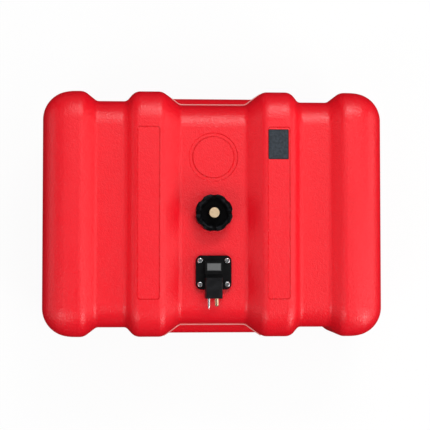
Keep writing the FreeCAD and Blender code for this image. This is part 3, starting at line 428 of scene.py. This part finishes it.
def label_film():
    """Black film, a little worn, with a darker cut edge."""
    s = Shader("label_film")
    wear = s.clouds(260.0, detail=4.0, over=(0.35, 0.65), roughness=0.6)
    film = s.mix(wear, LABEL_FILM, LABEL_WORN)
    cut = s.spread(s.outside(LABEL, LABEL_HALF), *LABEL_CUT)
    s.set(Base_Color=s.mix(cut, film, LABEL_EDGE),
          Roughness=s.clouds(45.0, detail=3.0, to=LABEL_ROUGHNESS),
          IOR=PLASTIC_IOR, Specular_IOR_Level=0.30)
    s.grain(700.0, depth=0.03)
    return s.done()


brass_shades = (BRASS, BRASS_DARK)
steel_shades = (STEEL, STEEL_DARK)
red = red_polyethylene()
black = black_plastic("black_plastic", BLACK, roughness=0.42)
black_cap = cap_plastic()
block_plastic = black_plastic("block_plastic", BLOCK_BLACK, roughness=0.36)
# the vent screw's radius, for the painted shade at its edge
brass = turned_metal("turned_brass", brass_shades, CAP, roughness=0.46,
                     shade_radius=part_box("vent_screw")[1].x)
brass_pin = turned_metal("turned_brass_pin", brass_shades, FUEL_PIN, roughness=0.22, axis="Y")
steel = turned_metal("stainless_steel", steel_shades, GAUGE, roughness=0.20, depth=0.006)
steel_pin = turned_metal("turned_steel_pin", steel_shades, LOCATING_PIN, roughness=0.16, axis="Y")
rubber = mottled("black_rubber", (RUBBER, RUBBER_PALE), 300.0, roughness=0.78,
                 grain=(1800.0, 0.05))
lens = grey_lens()
dial_white = mottled("dial_white", (DIAL_WHITE, DIAL_SHADE), 140.0, roughness=0.4,
                     grain=(900.0, 0.04))
foam = float_foam()
gauze = strainer_gauze()

FINISHES = {
    "tank_shell": red, "gauge_inserts": brass,
    "filler_cap": black_cap, "cap_gasket": rubber, "vent_bush": brass,
    "vent_screw": brass, "vent_seal": rubber,
    "gauge_flange": black, "flange_gasket": rubber, "flange_screws": steel,
    "gauge_window": lens, "gauge_dial": dial_white, "gauge_spiral": steel,
    "gauge_frame": black, "gauge_float": foam,
    "pickup_tube": black, "pickup_strainer": gauze, "tube_seal": rubber,
    "connector_block": block_plastic, "fuel_nipple": brass_pin, "nipple_seal": rubber,
    "check_plunger": brass_pin, "check_spring": steel, "locating_pin": steel_pin,
}
for name, material in FINISHES.items():
    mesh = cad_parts[name].data
    mesh.materials.clear()
    mesh.materials.append(material)

# ---------------------------------------------------------------- pieces beside the CAD
SHARP_ANGLE = math.radians(35)          # edges that turn further aren't shaded smooth


def add(name, data):
    """A new object with its data, in the scene."""
    made = bpy.data.objects.new(name, data)
    bpy.context.scene.collection.objects.link(made)
    return made


def piece(name, build, material, body):
    """A mesh piece made by build(bm), with one material, riding on a body."""
    bm = bmesh.new()
    build(bm)
    bmesh.ops.recalc_face_normals(bm, faces=bm.faces)
    mesh = bpy.data.meshes.new(name)
    bm.to_mesh(mesh)
    bm.free()
    mesh.materials.append(material)
    made = add(name, mesh)
    for polygon in mesh.polygons:
        polygon.use_smooth = True
    mesh.set_sharp_from_angle(angle=SHARP_ANGLE)
    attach(made, body)
    return made


def skin(bm, rings):
    """Faces from ring to ring of vertices, and one at either end."""
    for near, far in zip(rings, rings[1:]):
        for number in range(len(near)):
            after = (number + 1) % len(near)
            bm.faces.new((near[number], near[after], far[after], far[number]))
    bm.faces.new(rings[0][::-1])
    bm.faces.new(rings[-1])


def rounded_loop(half_x, half_y, radius):
    """Points of a rectangle with rounded corners, counterclockwise."""
    points = []
    for quarter, (sx, sy) in enumerate(((1, 1), (-1, 1), (-1, -1), (1, -1))):
        for step in range(CORNER_STEPS + 1):
            turn = math.radians(90 * quarter + 90 * step / CORNER_STEPS)
            points.append((sx * (half_x - radius) + radius * math.cos(turn),
                           sy * (half_y - radius) + radius * math.sin(turn)))
    return points


def plate(centre, half, corner, foot, layers):
    """Builder of a plate with rounded corners, from layers of (rise above its foot, inset)."""
    def build(bm):
        rings = []
        for rise, inset in layers:
            loop = rounded_loop(half[0] - inset, half[1] - inset, corner - inset)
            rings.append([bm.verts.new((centre[0] + x, centre[1] + y, foot + rise))
                          for x, y in loop])
        skin(bm, rings)
    return build


def coil(low, high):
    """Builder of the valve's helical spring, along Y in the box of its CAD node."""
    def build(bm):
        middle = (low + high) / 2
        radius = (high.x - low.x) / 2 - SPRING_WIRE
        length = high.y - low.y - 2 * SPRING_WIRE
        steps = SPRING_TURNS * TURN_STEPS
        rings = []
        for step in range(steps + 1):
            turn = 2 * math.pi * step / TURN_STEPS
            out = Vector((math.cos(turn), 0, math.sin(turn)))
            y = low.y + SPRING_WIRE + length * step / steps
            centre = Vector((middle.x, y, middle.z)) + radius * out
            ring = []
            for side in range(WIRE_SIDES):
                angle = 2 * math.pi * side / WIRE_SIDES
                across = math.cos(angle) * out + Vector((0, math.sin(angle), 0))
                ring.append(bm.verts.new(centre + SPRING_WIRE * across))
            rings.append(ring)
        skin(bm, rings)
    return build


def lip_bead(name, side):
    """The trimmed parting line along a hand-hold's lip: a thin bead, coloured pale pink as a
    painted highlight along the lip.
    """
    outline = [(-x, y) for x, y in BEAD_WALL] + [BEAD_MIDDLE] + BEAD_WALL[::-1]
    line = bpy.data.curves.new(name, "CURVE")
    line.dimensions = "3D"
    line.bevel_depth = BEAD_RADIUS
    line.bevel_resolution = 3
    line.resolution_u = 6
    line.use_fill_caps = True
    run = line.splines.new("NURBS")
    run.points.add(len(outline) - 1)
    for point, (x, y) in zip(run.points, outline):
        point.co = (x * MM, side * (y + BEAD_OFF_WALL) * MM, PARTING, 1)
    run.order_u = 3
    run.use_endpoint_u = True
    # painted highlight: the bead is pale pink all along
    line.materials.append(
        mottled(name, (BEAD_HIGHLIGHT_RED, BEAD_HIGHLIGHT_PALE), 220.0, roughness=0.45, grain=(500.0, 0.15, 0.7)))
    made = add(name, line)
    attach(made, "tank")


piece("label_plate", plate(LABEL, LABEL_HALF, LABEL_CORNER, PANEL_FLOOR, LABEL_LAYERS),
      label_film(), "tank")
lip_bead("lip_bead_back", 1)
lip_bead("lip_bead_front", -1)

spring_low, spring_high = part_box("check_spring")
spring = piece("valve_spring", coil(spring_low, spring_high), steel, "tank")
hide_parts("check_spring")
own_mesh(spring)

# ---------------------------------------------------------------- stage
FLOOR_SIZE = 40
FLOOR_DROP = 0.1 * MM                   # under the tank
TANK_HALF = (0.30, 0.22)                # half the tank's length and width
OPEN_FLOOR = (1.4, 3.2)                 # metres off the tank, where mirrored floor turns white
FLOOR_GLOW = 0.93                       # share of the floor's light that is its own
WORLD_STRENGTH = 0.09
LAMP_AIM = Vector((0, 0, 0.2))
LAMPS = (                               # name, place, size and power
    ("front_left", (-2.2, -2.2, 3.2), (2.2, 2.2), 53),
    ("front_right", (2.2, -1.0, 3.2), (2.4, 3.2), 42),
    ("front_corner", (2.2, -2.2, 1.6), (1.2, 1.2), 35),
    ("overhead", (-0.4, 1.6, 3.2), (3.0, 2.6), 24),
    ("back", (0.6, 2.1, 2.35), (1.6, 0.8), 39),
    ("right", (3.2, 0.0, 0.9), (3.4, 1.6), 23),
    ("left", (-3.2, 0.0, 0.8), (3.4, 1.4), 13),
)


def floor_material():
    """White to the camera, with the tank's soft shadow, and dark to the light it throws back."""
    s = Shader("floor_white")
    path = s.node("LightPath").outputs
    camera_ray = path["Is Camera Ray"]
    s.set(Base_Color=s.mix(camera_ray, FLOOR_DARK, FLOOR_WHITE), Roughness=0.9,
          Specular_IOR_Level=0.0)
    mirrored = s.math("MAXIMUM", path["Is Glossy Ray"], path["Is Transmission Ray"])
    open_floor = s.spread(s.outside((0.0, 0.0), TANK_HALF), *OPEN_FLOOR)
    seen = s.math("MAXIMUM", camera_ray, s.math("MULTIPLY", mirrored, open_floor))
    glow = s.fill(s.node("Emission"), Strength=1.0)
    blend = s.node("MixShader")
    parts = (s.math("MULTIPLY", seen, FLOOR_GLOW), s.shader.outputs[0], glow.outputs[0])
    for socket, source in zip(blend.inputs, parts):
        s.link(source, socket)
    s.link(blend.outputs[0], s.output.inputs["Surface"])
    return s.done()


bpy.ops.mesh.primitive_plane_add(size=FLOOR_SIZE, location=(0, 0, -FLOOR_DROP))
floor = bpy.context.object
floor.name = "floor"
floor.data.materials.append(floor_material())

world = bpy.data.worlds.new("studio")
bpy.context.scene.world = world
world.use_nodes = True
background = world.node_tree.nodes["Background"]
background.inputs["Color"].default_value = WHITE
background.inputs["Strength"].default_value = WORLD_STRENGTH

for name, place, size, power in LAMPS:
    lamp = bpy.data.lights.new(name, "AREA")
    lamp.shape = "RECTANGLE"
    lamp.size, lamp.size_y = size
    lamp.energy = power
    softbox = add(name, lamp)
    softbox.location = place
    softbox.rotation_euler = (LAMP_AIM - Vector(place)).to_track_quat("-Z", "Y").to_euler()

# ---------------------------------------------------------------- camera
CAMERA_PLACE = Vector((-0.10527, -0.07668, 2.16912))
CAMERA_AIM = Vector((0.00357, -0.00244, 0.2))
CAMERA_LENS = 94.057
CAMERA_SENSOR = 36

camera_data = bpy.data.cameras.new("camera")
camera_data.lens = CAMERA_LENS
camera_data.sensor_width = CAMERA_SENSOR
camera = add("camera", camera_data)
forward = (CAMERA_AIM - CAMERA_PLACE).normalized()
right = forward.cross(Vector((0, 1, 0))).normalized()
up = right.cross(forward)
turn = Matrix((right, up, -forward)).transposed()
camera.matrix_world = Matrix.Translation(CAMERA_PLACE) @ turn.to_4x4()
bpy.context.scene.camera = camera
bpy.context.scene.view_settings.view_transform = "Standard"
